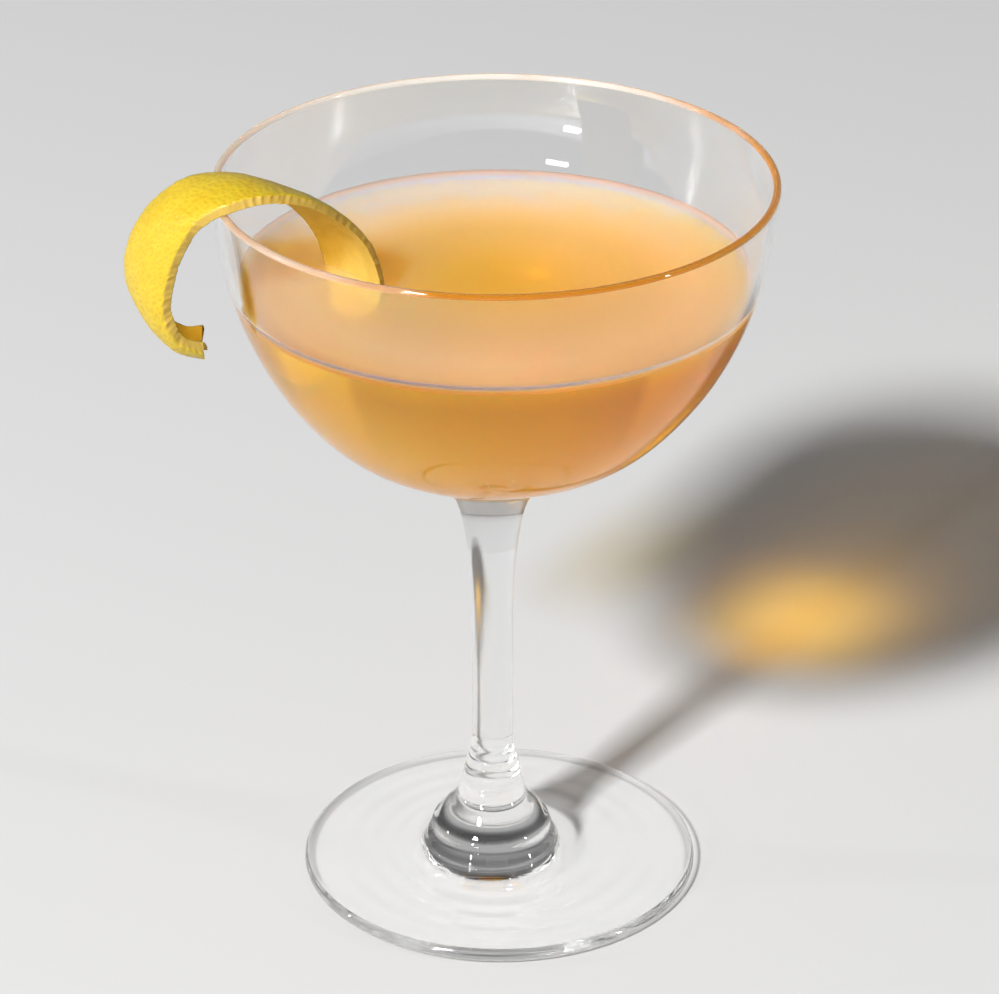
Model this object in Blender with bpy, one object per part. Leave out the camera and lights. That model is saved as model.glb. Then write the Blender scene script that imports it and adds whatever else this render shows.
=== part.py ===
"""Sidecar cocktail in a stemmed coupe glass, with a lemon twist hooked over the rim.

Three separate pieces: the glass, blown and drawn as one, the drink up to its level,
and the strip of lemon peel. The foot stands on Z = 0 with its centre at the origin,
and the peel hangs over the rim on the -X side.
"""
import bmesh
import bpy
import math
from mathutils import Vector

MM = 0.001

# Glass sizes in millimetres
GLASS_HEIGHT = 139.7
RIM_RADIUS = 50.0
RIM_WALL = 1.4
FOOT_RADIUS = 36.9
FOOT_THICKNESS = 2.7
BOTTOM_WALL = 3.0
EVEN_WALL_FROM = 60.0
# Bowl outside: distance from the centre of the rim, against the angle from straight down
BOWL_FORM = ((0, 56.8), (15, 56.55), (30, 56.25), (45, 53.95), (60, 51.75), (75, 50.3), (90, 50.0))
NECK_ANGLE = 18.0
LIP_ANGLE = 89.0
BOWL_STEPS = 14
# Knob, stem and neck outside, from the foot up: (radius, height)
STEM_FORM = (
    (24.0, 2.95),
    (16.5, 3.4),
    (13.2, 4.2),
    (12.3, 5.8),
    (11.3, 8.2),
    (9.8, 10.8),
    (7.9, 13.0),
    (6.5, 14.7),
    (6.0, 16.6),
    (5.45, 18.6),
    (5.05, 21.0),
    (4.2, 24.2),
    (3.88, 28.0),
    (3.85, 45.0),
    (3.9, 57.0),
    (4.25, 63.5),
    (4.75, 68.0),
    (5.35, 72.0),
    (6.0, 74.8),
    (7.0, 77.3),
    (8.7, 80.2),
    (11.0, 82.8),
    (14.2, 84.6),
)
# How far the hand-made glass sits off the foot's centre along X: (height, shift)
LEAN = ((4.0, -1.65), (30.0, -1.25), (76.0, -1.35), (105.0, -0.85), (GLASS_HEIGHT, -0.65))
# Radii on the foot between which that shift fades out
LEAN_FADE = (14.0, 24.0)
GLASS_SEGMENTS = 56

# Drink sizes in millimetres
LEVEL = 120.0
MENISCUS_RISE = 1.0
MENISCUS_WIDTH = 1.6
GAP = 0.3
DRINK_SEGMENTS = GLASS_SEGMENTS

# Lemon twist in millimetres
PEEL_THICKNESS = 1.9
PEEL_STEPS = 3
PEEL_ACROSS = 9
# The torn end: depth, place and width of its notch, and how far its corners are set back
TORN_NOTCH = 2.4
NOTCH_PLACE = 0.72
NOTCH_WIDTH = 0.13
TORN_CORNERS = 1.2
END_ROUNDING = 1.4
# How many stations from each end the torn outline and the rounding reach
TORN_REACH = 1.67
ROUNDING_REACH = 2.0
EDGE_THINNING = 0.35
# From the torn outer end, over the rim, into the drink: near edge, far edge, bulge of the zest side
PEEL_STATIONS = (
    ((-51.0, -10.5, 112.3), (-51.6, -2.0, 112.2), 3.7),
    ((-55.2, -12.0, 114.4), (-56.6, -2.0, 112.2), 2.9),
    ((-57.3, -13.5, 119.6), (-62.4, -2.0, 115.6), 2.0),
    ((-56.6, -14.5, 125.8), (-65.4, -2.5, 121.2), 1.5),
    ((-54.4, -15.8, 132.4), (-65.0, -3.2, 128.6), 1.2),
    ((-50.9, -17.6, 138.2), (-60.9, -4.0, 136.2), 1.0),
    ((-45.6, -18.0, 141.2), (-53.9, -4.6, 141.4), 0.9),
    ((-39.4, -16.2, 142.0), (-45.6, -3.6, 141.3), 1.0),
    ((-32.6, -12.0, 139.6), (-37.2, 0.4, 134.8), 1.2),
    ((-26.6, -7.6, 134.2), (-33.2, 5.2, 127.8), 1.5),
    ((-22.4, -5.4, 128.2), (-31.6, 7.0, 122.6), 1.6),
    ((-20.4, -6.2, 121.4), (-30.4, 4.6, 117.6), 1.4),
    ((-21.4, -7.6, 114.6), (-30.4, 1.0, 113.0), 1.2),
    ((-25.0, -7.6, 109.4), (-30.8, -2.4, 109.8), 0.8),
)


def clear_scene():
    for obj in list(bpy.data.objects):
        bpy.data.objects.remove(obj, do_unlink=True)


def material(name, colour, roughness, transmission=0.0, alpha=1.0):
    mat = bpy.data.materials.new(name)
    mat.use_nodes = True
    shader = mat.node_tree.nodes["Principled BSDF"]
    shader.inputs["Base Color"].default_value = (*colour, 1.0)
    shader.inputs["Roughness"].default_value = roughness
    shader.inputs["Transmission Weight"].default_value = transmission
    shader.inputs["Alpha"].default_value = alpha
    mat.diffuse_color = (*colour, alpha)
    return mat


def smooth_through(points, steps):
    """A Catmull-Rom curve through points of any dimension, with steps pieces between two of them."""
    ends = [2 * points[0] - points[1], *points, 2 * points[-1] - points[-2]]
    curve = []
    for before, start, end, after in zip(ends, ends[1:], ends[2:], ends[3:]):
        for step in range(steps):
            t = step / steps
            curve.append(
                0.5 * (2 * start + t * (end - before)
                       + t ** 2 * (2 * before - 5 * start + 4 * end - after)
                       + t ** 3 * (3 * start - before - 3 * end + after))
            )
    return curve + [points[-1]]


def between(table, at):
    """Linear value from a table of (place, value) pairs, held level past its ends."""
    if at <= table[0][0]:
        return table[0][1]
    for (low, first), (high, last) in zip(table, table[1:]):
        if at <= high:
            return first + (last - first) * (at - low) / (high - low)
    return table[-1][1]


def lean(radius, height):
    """Shift of the glass along X, which fades out over the foot."""
    if height >= LEAN[0][0]:
        return between(LEAN, height)
    inner, outer = LEAN_FADE
    fade = min(1.0, max(0.0, (outer - radius) / (outer - inner)))
    return between(LEAN, height) * fade * fade * (3 - 2 * fade)


def bowl_point(angle, inset=0.0):
    """Point of the bowl as (radius, height), on the outside or inset towards the centre."""
    knots = smooth_through([Vector(pair) for pair in BOWL_FORM], 6)
    reach = between([tuple(knot) for knot in knots], angle) - inset
    turn = math.radians(angle)
    return Vector((reach * math.sin(turn), GLASS_HEIGHT - reach * math.cos(turn)))


def wall_at(angle):
    """Wall of the bowl: even up the side and thicker towards the stem."""
    down = 1.0 - min(angle, EVEN_WALL_FROM) / EVEN_WALL_FROM
    return RIM_WALL + (BOTTOM_WALL - RIM_WALL) * down ** 1.6


def arc(centre, radius, start, end, steps):
    """Points of an arc from one angle to another, both in degrees."""
    turns = [math.radians(start + (end - start) * i / steps) for i in range(steps + 1)]
    return [centre + radius * Vector((math.cos(turn), math.sin(turn))) for turn in turns]


def glass_profile():
    """The whole section, from the middle of the underside round to the middle of the bowl."""
    edge = FOOT_THICKNESS / 2
    foot = arc(Vector((FOOT_RADIUS - edge, edge)), edge, -90, 90, 8)
    stem = smooth_through([Vector(pair) for pair in STEM_FORM], 2)
    angles = [NECK_ANGLE + (LIP_ANGLE - NECK_ANGLE) * i / BOWL_STEPS for i in range(BOWL_STEPS + 1)]
    outside = [bowl_point(angle) for angle in angles]
    half_lip = RIM_WALL / 2
    lip = arc(Vector((RIM_RADIUS - half_lip, GLASS_HEIGHT - half_lip)), half_lip, 0, 180, 6)
    inside = [bowl_point(angle, wall_at(angle)) for angle in (*reversed(angles), 12.0, 6.0, 0.0)]
    underside = [Vector((0.0, 0.0)), Vector((FOOT_RADIUS / 2, 0.0))]
    return underside + foot + stem + outside + lip + inside


def drink_profile():
    """The drink a small gap inside the wall, with a raised edge where it wets the glass."""
    top = LEVEL + MENISCUS_RISE
    angles = [6.0 * i for i in range(1, 16)]
    wall = [bowl_point(angle, wall_at(angle) + GAP) for angle in angles]
    low = [point for point in wall if point.y < top - MENISCUS_RISE / 2]
    edge = between([(point.y, point.x) for point in wall], top)
    bottom = Vector((0.0, bowl_point(0.0, wall_at(0.0) + GAP).y))
    return [
        bottom,
        *low,
        Vector((edge, top)),
        Vector((edge - 0.4 * MENISCUS_WIDTH, LEVEL + 0.3 * MENISCUS_RISE)),
        Vector((edge - MENISCUS_WIDTH, LEVEL)),
        Vector((0.6 * edge, LEVEL)),
        Vector((0.0, LEVEL)),
    ]


def lathe(name, profile, segments):
    """Solid turned round Z from a section whose first and last points lie on the axis."""
    bm = bmesh.new()
    rings = []
    for point in profile:
        shift = lean(point.x, point.y)
        count = segments if point.x > 1e-6 else 1
        turns = [2 * math.pi * i / segments for i in range(count)]
        rings.append([
            bm.verts.new(Vector((point.x * math.cos(turn) + shift, point.x * math.sin(turn), point.y)) * MM)
            for turn in turns
        ])
    for low, high in zip(rings, rings[1:]):
        for i in range(segments):
            j = (i + 1) % segments
            corners = [low[i % len(low)], low[j % len(low)], high[j % len(high)], high[i % len(high)]]
            bm.faces.new(list(dict.fromkeys(corners)))
    return finish(name, bm)


def finish(name, bm):
    """Object from the bmesh, its faces turned outwards and shaded smooth."""
    bmesh.ops.recalc_face_normals(bm, faces=bm.faces)
    mesh = bpy.data.meshes.new(name)
    bm.to_mesh(mesh)
    bm.free()
    mesh.shade_smooth()
    obj = bpy.data.objects.new(name, mesh)
    bpy.context.scene.collection.objects.link(obj)
    return obj


def torn(across):
    """How far the torn end is set back, in millimetres: two points with a notch between them."""
    notch = TORN_NOTCH * math.exp(-((across - NOTCH_PLACE) / NOTCH_WIDTH) ** 2)
    return notch + TORN_CORNERS * (2 * across - 1) ** 4


def peel_sections():
    """Cross sections of the strip, each a closed ring of points round its thickness."""
    near = smooth_through([Vector(station[0]) for station in PEEL_STATIONS], PEEL_STEPS)
    far = smooth_through([Vector(station[1]) for station in PEEL_STATIONS], PEEL_STEPS)
    bulge = smooth_through([Vector((station[2], 0.0)) for station in PEEL_STATIONS], PEEL_STEPS)
    count = len(near)
    sections = []
    for k in range(count):
        ahead = min(k + 1, count - 1)
        behind = max(k - 1, 0)
        along = (near[ahead] + far[ahead] - near[behind] - far[behind]).normalized()
        across = far[k] - near[k]
        outward = along.cross(across).normalized()
        start_fade = max(0.0, 1.0 - k / PEEL_STEPS / TORN_REACH)
        end_fade = max(0.0, 1.0 - (count - 1 - k) / PEEL_STEPS / ROUNDING_REACH)
        zest, pith = [], []
        for i in range(PEEL_ACROSS):
            v = i / (PEEL_ACROSS - 1)
            lift = bulge[k].x * 4 * v * (1 - v)
            tilt = math.atan2(bulge[k].x * 4 * (1 - 2 * v), across.length)
            normal = outward * math.cos(tilt) - across.normalized() * math.sin(tilt)
            rim = 1.0 - EDGE_THINNING * abs(2 * v - 1) ** 6
            half = normal * PEEL_THICKNESS / 2 * rim
            base = near[k] + across * v + outward * lift
            rounding = END_ROUNDING * (2 * v - 1) ** 4 * end_fade
            base += along * (torn(v) * start_fade - rounding)
            zest.append(base + half)
            pith.append(base - half)
        sections.append(zest + pith[::-1])
    return sections


def peel_solid(name, grow=0.0):
    """The strip of peel, or with grow the pocket that it needs in the drink.

    It is all triangles, so that the strip and its pocket bend at the same lines.
    """
    bm = bmesh.new()
    rings = [[bm.verts.new(point * MM) for point in section] for section in peel_sections()]
    size = len(rings[0])
    for start, end in zip(rings, rings[1:]):
        for i in range(size):
            j = (i + 1) % size
            bm.faces.new((start[i], start[j], end[j]))
            bm.faces.new((start[i], end[j], end[i]))
    for ring in (rings[0], rings[-1]):
        for i in range(PEEL_ACROSS - 1):
            bm.faces.new((ring[i], ring[i + 1], ring[size - 2 - i]))
            bm.faces.new((ring[i], ring[size - 2 - i], ring[size - 1 - i]))
    bmesh.ops.recalc_face_normals(bm, faces=bm.faces)
    bm.normal_update()
    moves = [vert.normal * grow * MM * vert.calc_shell_factor() for vert in bm.verts]
    for vert, move in zip(bm.verts, moves):
        vert.co += move
    return finish(name, bm)


def build_glass():
    """Clear coupe: flat foot, stepped knob, drawn stem, wide bowl and fire-polished rim."""
    glass = lathe("glass", glass_profile(), GLASS_SEGMENTS)
    glass.data.materials.append(material("glass", (0.95, 0.97, 0.96), 0.02, 1.0, 0.35))
    return glass


def build_drink():
    """The drink, cut round the peel that dips into it."""
    drink = lathe("drink", drink_profile(), DRINK_SEGMENTS)
    drink.data.materials.append(material("drink", (0.78, 0.36, 0.06), 0.05, 0.6))
    pocket = peel_solid("peel_pocket", GAP)
    pocket.hide_render = True
    pocket.display_type = "WIRE"
    cut = drink.modifiers.new("peel pocket", "BOOLEAN")
    cut.operation = "DIFFERENCE"
    cut.solver = "EXACT"
    cut.object = pocket
    return drink


def build_lemon_twist():
    """Strip of lemon peel, hooked over the rim with its inner end in the drink."""
    twist = peel_solid("lemon_twist")
    twist.data.materials.append(material("lemon_twist", (0.9, 0.62, 0.05), 0.45))
    return twist


clear_scene()
build_glass()
build_drink()
build_lemon_twist()
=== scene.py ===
"""Sidecar cocktail in a stemmed coupe, with a lemon twist hooked over the rim."""
import bmesh
import bpy
import math
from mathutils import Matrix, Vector, noise
from mathutils.bvhtree import BVHTree


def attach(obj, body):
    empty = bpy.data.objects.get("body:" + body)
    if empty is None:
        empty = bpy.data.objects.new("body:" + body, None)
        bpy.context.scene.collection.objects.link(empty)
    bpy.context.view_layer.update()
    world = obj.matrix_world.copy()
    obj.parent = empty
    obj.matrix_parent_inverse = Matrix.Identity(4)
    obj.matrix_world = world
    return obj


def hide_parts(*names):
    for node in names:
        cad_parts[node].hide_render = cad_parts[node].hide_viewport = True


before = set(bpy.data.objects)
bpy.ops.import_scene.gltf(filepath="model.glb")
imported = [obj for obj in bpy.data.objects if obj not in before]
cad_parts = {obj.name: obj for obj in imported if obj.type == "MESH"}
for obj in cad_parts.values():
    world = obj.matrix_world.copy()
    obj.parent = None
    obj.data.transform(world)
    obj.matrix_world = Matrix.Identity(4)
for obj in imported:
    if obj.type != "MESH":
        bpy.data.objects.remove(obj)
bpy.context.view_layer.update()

# Glass
# A coupe of clear soda-lime glass, one piece, blown and drawn by hand and polished in the flame.
# It is turned from its section, a little out of round, with the rings that the tools leave on foot and knob.
MM = 0.001
GLASS_HEIGHT = 139.7
RIM_RADIUS = 50.0
RIM_WALL = 1.4
FOOT_RADIUS = 36.9
FOOT_THICKNESS = 2.7
BOTTOM_WALL = 3.0
EVEN_WALL_FROM = 60.0
WALL_SWELL = 1.6
FOOT_TOP_RADIUS = 35.0
FOOT_RISE = 0.25
# A narrow ring at the underside's edge, which keeps its shading flat up to there
UNDERSIDE_EDGE = 0.8
NECK_ANGLE = 18.0
LIP_ANGLE = 89.0
# Bowl outside: distance from the centre of the rim, against the angle from straight down
BOWL_FORM = ((0, 56.8), (15, 56.55), (30, 56.25), (45, 53.95), (60, 51.75), (75, 50.3), (90, 50.0))
# Knob, stem and neck outside, from the foot up: (radius, height)
STEM_FORM = (
    (24.0, 2.95),
    (16.5, 3.4),
    (13.2, 4.2),
    (12.3, 5.8),
    (11.3, 8.2),
    (9.8, 10.8),
    (7.9, 13.0),
    (6.5, 14.7),
    (6.0, 16.6),
    (5.45, 18.6),
    (5.05, 21.0),
    (4.2, 24.2),
    (3.88, 28.0),
    (3.85, 45.0),
    (3.9, 57.0),
    (4.25, 63.5),
    (4.75, 68.0),
    (5.35, 72.0),
    (6.0, 74.8),
    (7.0, 77.3),
    (8.7, 80.2),
    (11.0, 82.8),
    (14.2, 84.6),
)
# How far the hand-made glass sits off the foot's centre along X: (height, shift)
LEAN = ((4.0, -1.65), (30.0, -1.25), (76.0, -1.35), (105.0, -0.85), (GLASS_HEIGHT, -0.65))
# On the foot, the shift fades between these distances from the axis
LEAN_FADES = (14.0, 24.0)
FOOT_TOP = 3.4
FOOT_RINGS_START = 14.0
FOOT_RINGS_WIDTH = 20.0
KNOB_BASE = 3.3
KNOB_TOP = 16.0
KNOB_REACH = 15.0
KNOB_RING_PITCH = 4.2
KNOB_RING_HEIGHT = 0.12
FOOT_RING_PITCH = 4.6
FOOT_RING_HEIGHT = 0.12
TURNING_SEGMENTS = 256
LIP_DEPTH = 0.8
OUT_OF_ROUND = 0.12
OUT_OF_ROUND_SIZE = 45.0


def linear(code):
    """An sRGB hex colour as the linear RGBA that shaders take."""
    parts = [int(code[i:i + 2], 16) / 255 for i in (1, 3, 5)]
    return (*[p / 12.92 if p <= 0.04045 else ((p + 0.055) / 1.055) ** 2.4 for p in parts], 1.0)


def add_node(tree, kind, inputs=(), **settings):
    """Adds a node, with its settings, and sets or links its inputs, given as a dict of socket to value."""
    node = tree.nodes.new(kind)
    for key, value in settings.items():
        setattr(node, key, value)
    for key, value in dict(inputs).items():
        if isinstance(value, bpy.types.NodeSocket):
            tree.links.new(value, node.inputs[key])
        else:
            node.inputs[key].default_value = value
    return node


def new_material(name, **values):
    """A material and its node tree and Principled shader, with the plain values set on the shader."""
    mat = bpy.data.materials.new(name)
    mat.use_nodes = True
    shader = mat.node_tree.nodes["Principled BSDF"]
    for key, value in values.items():
        shader.inputs[key.replace("_", " ")].default_value = value
    return mat, mat.node_tree, shader


def smooth_through(points, steps):
    """A Catmull-Rom curve through points, with steps pieces between two of them."""
    ends = [2 * points[0] - points[1], *points, 2 * points[-1] - points[-2]]
    curve = []
    for before, start, end, after in zip(ends, ends[1:], ends[2:], ends[3:]):
        for step in range(steps):
            t = step / steps
            curve.append(
                0.5 * (2 * start + t * (end - before)
                       + t ** 2 * (2 * before - 5 * start + 4 * end - after)
                       + t ** 3 * (3 * start - before - 3 * end + after))
            )
    return curve + [points[-1]]


def between(table, at):
    """Linear value from a table of (place, value) pairs, held level past its ends."""
    if at <= table[0][0]:
        return table[0][1]
    for (low, first), (high, last) in zip(table, table[1:]):
        if at <= high:
            return first + (last - first) * (at - low) / (high - low)
    return table[-1][1]


def lean(radius, height):
    """Shift of the glass along X, which fades out over the foot."""
    starts, ends = LEAN_FADES
    fade = min(1.0, max(0.0, (ends - radius) / (ends - starts))) if height < LEAN[0][0] else 1.0
    return between(LEAN, height) * fade * fade * (3 - 2 * fade)


BOWL_KNOTS = [tuple(knot) for knot in smooth_through([Vector(pair) for pair in BOWL_FORM], 12)]


def bowl_point(angle, inset=0.0):
    """Point of the bowl as (radius, height), on the outside or inset towards the centre."""
    reach = between(BOWL_KNOTS, angle) - inset
    turn = math.radians(angle)
    return Vector((reach * math.sin(turn), GLASS_HEIGHT - reach * math.cos(turn)))


def wall_at(angle):
    """Wall of the bowl: even up the side and thicker towards the stem."""
    down = 1.0 - min(angle, EVEN_WALL_FROM) / EVEN_WALL_FROM
    return RIM_WALL + (BOTTOM_WALL - RIM_WALL) * down ** WALL_SWELL


def arc(centre, radius, start, end, steps):
    """Points of an arc from one angle to another, both in degrees."""
    turns = [math.radians(start + (end - start) * i / steps) for i in range(steps + 1)]
    return [centre + radius * Vector((math.cos(turn), math.sin(turn))) for turn in turns]


def ringed(point):
    """The point of foot, knob or stem moved by the shallow rings that the tools leave."""
    radius, height = point
    if KNOB_BASE < height < KNOB_TOP and radius < KNOB_REACH:
        fade = math.sin(math.pi * (height - KNOB_BASE) / (KNOB_TOP - KNOB_BASE)) ** 0.5
        wave = math.sin(2 * math.pi * height / KNOB_RING_PITCH)
        return Vector((radius + KNOB_RING_HEIGHT * fade * wave, height))
    if height <= FOOT_TOP:
        fade = math.sin(math.pi * min(1.0, max(0.0, (radius - FOOT_RINGS_START) / FOOT_RINGS_WIDTH))) ** 0.5
        wave = math.sin(2 * math.pi * radius / FOOT_RING_PITCH)
        return Vector((radius, height + FOOT_RING_HEIGHT * fade * wave))
    return point


def glass_section():
    """The whole section, from the middle of the underside round to the middle of the bowl."""
    edge = FOOT_THICKNESS / 2
    under = [Vector((FOOT_RADIUS - edge, 0.0)) * (i / 12) for i in range(12)]
    under.append(Vector((FOOT_RADIUS - edge - UNDERSIDE_EDGE, 0.0)))
    foot = arc(Vector((FOOT_RADIUS - edge, edge)), edge, -90, 90, 16)
    top = [Vector((FOOT_TOP_RADIUS - i, FOOT_THICKNESS + FOOT_RISE * i / 11)) for i in range(11)]
    stem = smooth_through([Vector(pair) for pair in STEM_FORM], 8)
    angles = [NECK_ANGLE + (LIP_ANGLE - NECK_ANGLE) * i / 60 for i in range(61)]
    outside = [bowl_point(angle) for angle in angles]
    lip = arc(Vector((RIM_RADIUS - RIM_WALL / 2, GLASS_HEIGHT - RIM_WALL / 2)), RIM_WALL / 2, 0, 180, 12)
    inside = [bowl_point(angle, wall_at(angle)) for angle in reversed(angles)]
    bottom = [bowl_point(NECK_ANGLE * i / 12, wall_at(NECK_ANGLE * i / 12)) for i in range(11, -1, -1)]
    return under + foot + [ringed(p) for p in (*top, *stem)] + outside + lip + inside + bottom


def section_object(name, points):
    """A line of points in the XZ plane, each with its shift off the axis kept beside it."""
    mesh = bpy.data.meshes.new(name)
    places = [(x * MM, 0.0, z * MM) for x, z in points]
    mesh.from_pydata(places, [(i, i + 1) for i in range(len(points) - 1)], [])
    shift = mesh.attributes.new("shift", "FLOAT", "POINT")
    shift.data.foreach_set("value", [lean(x, z) * MM for x, z in points])
    obj = bpy.data.objects.new(name, mesh)
    bpy.context.scene.collection.objects.link(obj)
    return obj


def turning_tree():
    """Geometry Nodes that turn a section round Z and leave it slightly out of round."""
    tree = bpy.data.node_groups.new("turned section", "GeometryNodeTree")
    sockets = (
        ("Section", "NodeSocketGeometry"),
        ("Segments", "NodeSocketInt"),
        ("Out of round", "NodeSocketFloat"),
        ("Wave length", "NodeSocketFloat"),
        ("Material", "NodeSocketMaterial"),
    )
    for name, kind in sockets:
        tree.interface.new_socket(name, in_out="INPUT", socket_type=kind)
    tree.interface.new_socket("Turned", in_out="OUTPUT", socket_type="NodeSocketGeometry")
    given = add_node(tree, "NodeGroupInput").outputs
    rows = add_node(tree, "GeometryNodeAttributeDomainSize", {0: given["Section"]}).outputs["Point Count"]
    columns = add_node(tree, "ShaderNodeMath", {0: given["Segments"], 1: 1.0}, operation="ADD").outputs[0]
    grid = add_node(
        tree, "GeometryNodeMeshGrid",
        {"Size X": 1.0, "Size Y": 1.0, "Vertices X": columns, "Vertices Y": rows},
    ).outputs["Mesh"]
    index = add_node(tree, "GeometryNodeInputIndex").outputs[0]
    row = add_node(tree, "ShaderNodeMath", {0: index, 1: rows}, operation="MODULO").outputs[0]
    whole = add_node(tree, "ShaderNodeMath", {0: index, 1: row}, operation="SUBTRACT").outputs[0]
    column = add_node(tree, "ShaderNodeMath", {0: whole, 1: rows}, operation="DIVIDE").outputs[0]
    full = add_node(tree, "ShaderNodeMath", {0: column, 1: 2 * math.pi}, operation="MULTIPLY").outputs[0]
    turn = add_node(tree, "ShaderNodeMath", {0: full, 1: given["Segments"]}, operation="DIVIDE").outputs[0]
    place = add_node(tree, "GeometryNodeInputPosition").outputs[0]
    point = add_node(
        tree, "GeometryNodeSampleIndex",
        {"Geometry": given["Section"], "Value": place, "Index": row}, data_type="FLOAT_VECTOR",
    ).outputs[0]
    named = add_node(
        tree, "GeometryNodeInputNamedAttribute", {"Name": "shift"}, data_type="FLOAT",
    ).outputs[0]
    shift = add_node(
        tree, "GeometryNodeSampleIndex",
        {"Geometry": given["Section"], "Value": named, "Index": row}, data_type="FLOAT",
    ).outputs[0]
    parts = add_node(tree, "ShaderNodeSeparateXYZ", {0: point}).outputs
    cosine = add_node(tree, "ShaderNodeMath", {0: turn}, operation="COSINE").outputs[0]
    sine = add_node(tree, "ShaderNodeMath", {0: turn}, operation="SINE").outputs[0]
    outward = add_node(tree, "ShaderNodeCombineXYZ", {"X": cosine, "Y": sine}).outputs[0]
    size = add_node(
        tree, "ShaderNodeVectorMath", {0: outward, "Scale": parts["X"]}, operation="SCALE",
    ).outputs[0]
    raised = add_node(tree, "ShaderNodeCombineXYZ", {"X": shift, "Z": parts["Z"]}).outputs[0]
    turned = add_node(tree, "ShaderNodeVectorMath", {0: size, 1: raised}, operation="ADD").outputs[0]
    per_wave = add_node(
        tree, "ShaderNodeMath", {0: 1.0, 1: given["Wave length"]}, operation="DIVIDE",
    ).outputs[0]
    waves = add_node(
        tree, "ShaderNodeTexNoise", {"Vector": turned, "Scale": per_wave, "Detail": 1.0},
    ).outputs[0]
    reach = add_node(
        tree, "ShaderNodeMapRange", {0: parts["X"], 1: 0.004, 2: 0.04, 3: 0.0, 4: 1.0},
    ).outputs[0]
    depth = add_node(
        tree, "ShaderNodeMath", {0: waves, 1: given["Out of round"]}, operation="MULTIPLY",
    ).outputs[0]
    inward = add_node(tree, "ShaderNodeMath", {0: depth, 1: reach}, operation="MULTIPLY").outputs[0]
    push = add_node(
        tree, "ShaderNodeVectorMath", {0: outward, "Scale": inward}, operation="SCALE",
    ).outputs[0]
    uneven = add_node(tree, "ShaderNodeVectorMath", {0: turned, 1: push}, operation="SUBTRACT").outputs[0]
    placed = add_node(tree, "GeometryNodeSetPosition", {"Geometry": grid, "Position": uneven}).outputs[0]
    closed = add_node(tree, "GeometryNodeMergeByDistance", {"Geometry": placed, "Distance": 1e-6}).outputs[0]
    smooth = add_node(tree, "GeometryNodeSetShadeSmooth", {"Geometry": closed}).outputs[0]
    real = add_node(tree, "GeometryNodeRealizeInstances", {"Geometry": smooth}).outputs[0]
    done = add_node(
        tree, "GeometryNodeSetMaterial", {"Geometry": real, "Material": given["Material"]},
    ).outputs[0]
    add_node(tree, "NodeGroupOutput", {0: done})
    return tree


def made_by_nodes(name, source, tree, values):
    """A plain mesh piece from a source object and a Geometry Nodes tree, its faces turned outwards."""
    modifier = source.modifiers.new("nodes", "NODES")
    modifier.node_group = tree
    for item in tree.interface.items_tree:
        if item.in_out == "INPUT" and item.name in values:
            modifier[item.identifier] = values[item.name]
    graph = bpy.context.evaluated_depsgraph_get()
    mesh = bpy.data.meshes.new_from_object(source.evaluated_get(graph))
    bpy.data.objects.remove(source)
    bm = bmesh.new()
    bm.from_mesh(mesh)
    bmesh.ops.recalc_face_normals(bm, faces=bm.faces)
    bm.to_mesh(mesh)
    bm.free()
    mesh.name = name
    piece = bpy.data.objects.new(name, mesh)
    bpy.context.scene.collection.objects.link(piece)
    return piece


def finish_above(piece, height, material):
    """Gives the faces of a piece that lie above a height a material of their own."""
    piece.data.materials.append(material)
    for face in piece.data.polygons:
        if face.center.z > height * MM:
            face.material_index = len(piece.data.materials) - 1


def dark_edge_on(tree, flat, steep):
    """Light that a wall passes: flat is its colour facing the lamp, and steep its colour edge-on to it."""
    facing = add_node(tree, "ShaderNodeLayerWeight", {"Blend": 0.5}).outputs["Facing"]
    edge_on = add_node(tree, "ShaderNodeMapRange", {0: facing, 1: 0.25, 2: 0.75}).outputs[0]
    return add_node(tree, "ShaderNodeMix", {0: edge_on, 6: flat, 7: steep}, data_type="RGBA").outputs[2]


def let_light_through(tree, shader, passed, rays=("Is Shadow Ray",)):
    """Lets these rays run straight on through a clear body, in the colour that passes its wall.

    They light what is inside or behind it. Shadow rays run to the lamps, and diffuse rays to lit surfaces.
    """
    open_way = add_node(tree, "ShaderNodeBsdfTransparent", {"Color": passed}).outputs[0]
    paths = add_node(tree, "ShaderNodeLightPath").outputs
    surface = shader.outputs[0]
    for kind in rays:
        surface = add_node(tree, "ShaderNodeMixShader", {0: paths[kind], 1: surface, 2: open_way}).outputs[0]
    tree.links.new(surface, tree.nodes["Material Output"].inputs["Surface"])


SOFT_AND_LAMP_LIGHT = ("Is Shadow Ray", "Is Diffuse Ray")
# Light that the foot's rings gather under it, and light that the neck bends into the warm spot on the table
FOOT_GATHERS = (1.08, 1.08, 1.08, 1.0)
FOOT_LIGHT_TOP = 3.5
NECK_GATHERS = (1.5, 1.2, 0.9, 1.0)
# Where the neck's share starts and is full going up, and where it starts and is full coming down
NECK_FROM = (70.0, 75.0)
NECK_DOWN_FROM = (87.0, 85.0)
# Outer walls are told by how far off the axis they lie, times how much they lean outwards
OUTER_WALL_LEAST = 0.5
# Light that reaches the table through the glass: (height, colour), dim under the stem and the fogged bowl
LIGHT_KEPT = (
    (0.0, "#FFFFFF"),
    (3.0, "#FFFFFF"),
    (16.0, "#8C8480"),
    (67.0, "#8C8480"),
    (74.0, "#FFFFFF"),
    (87.0, "#FFFFFF"),
    (93.0, "#343230"),
)


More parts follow.
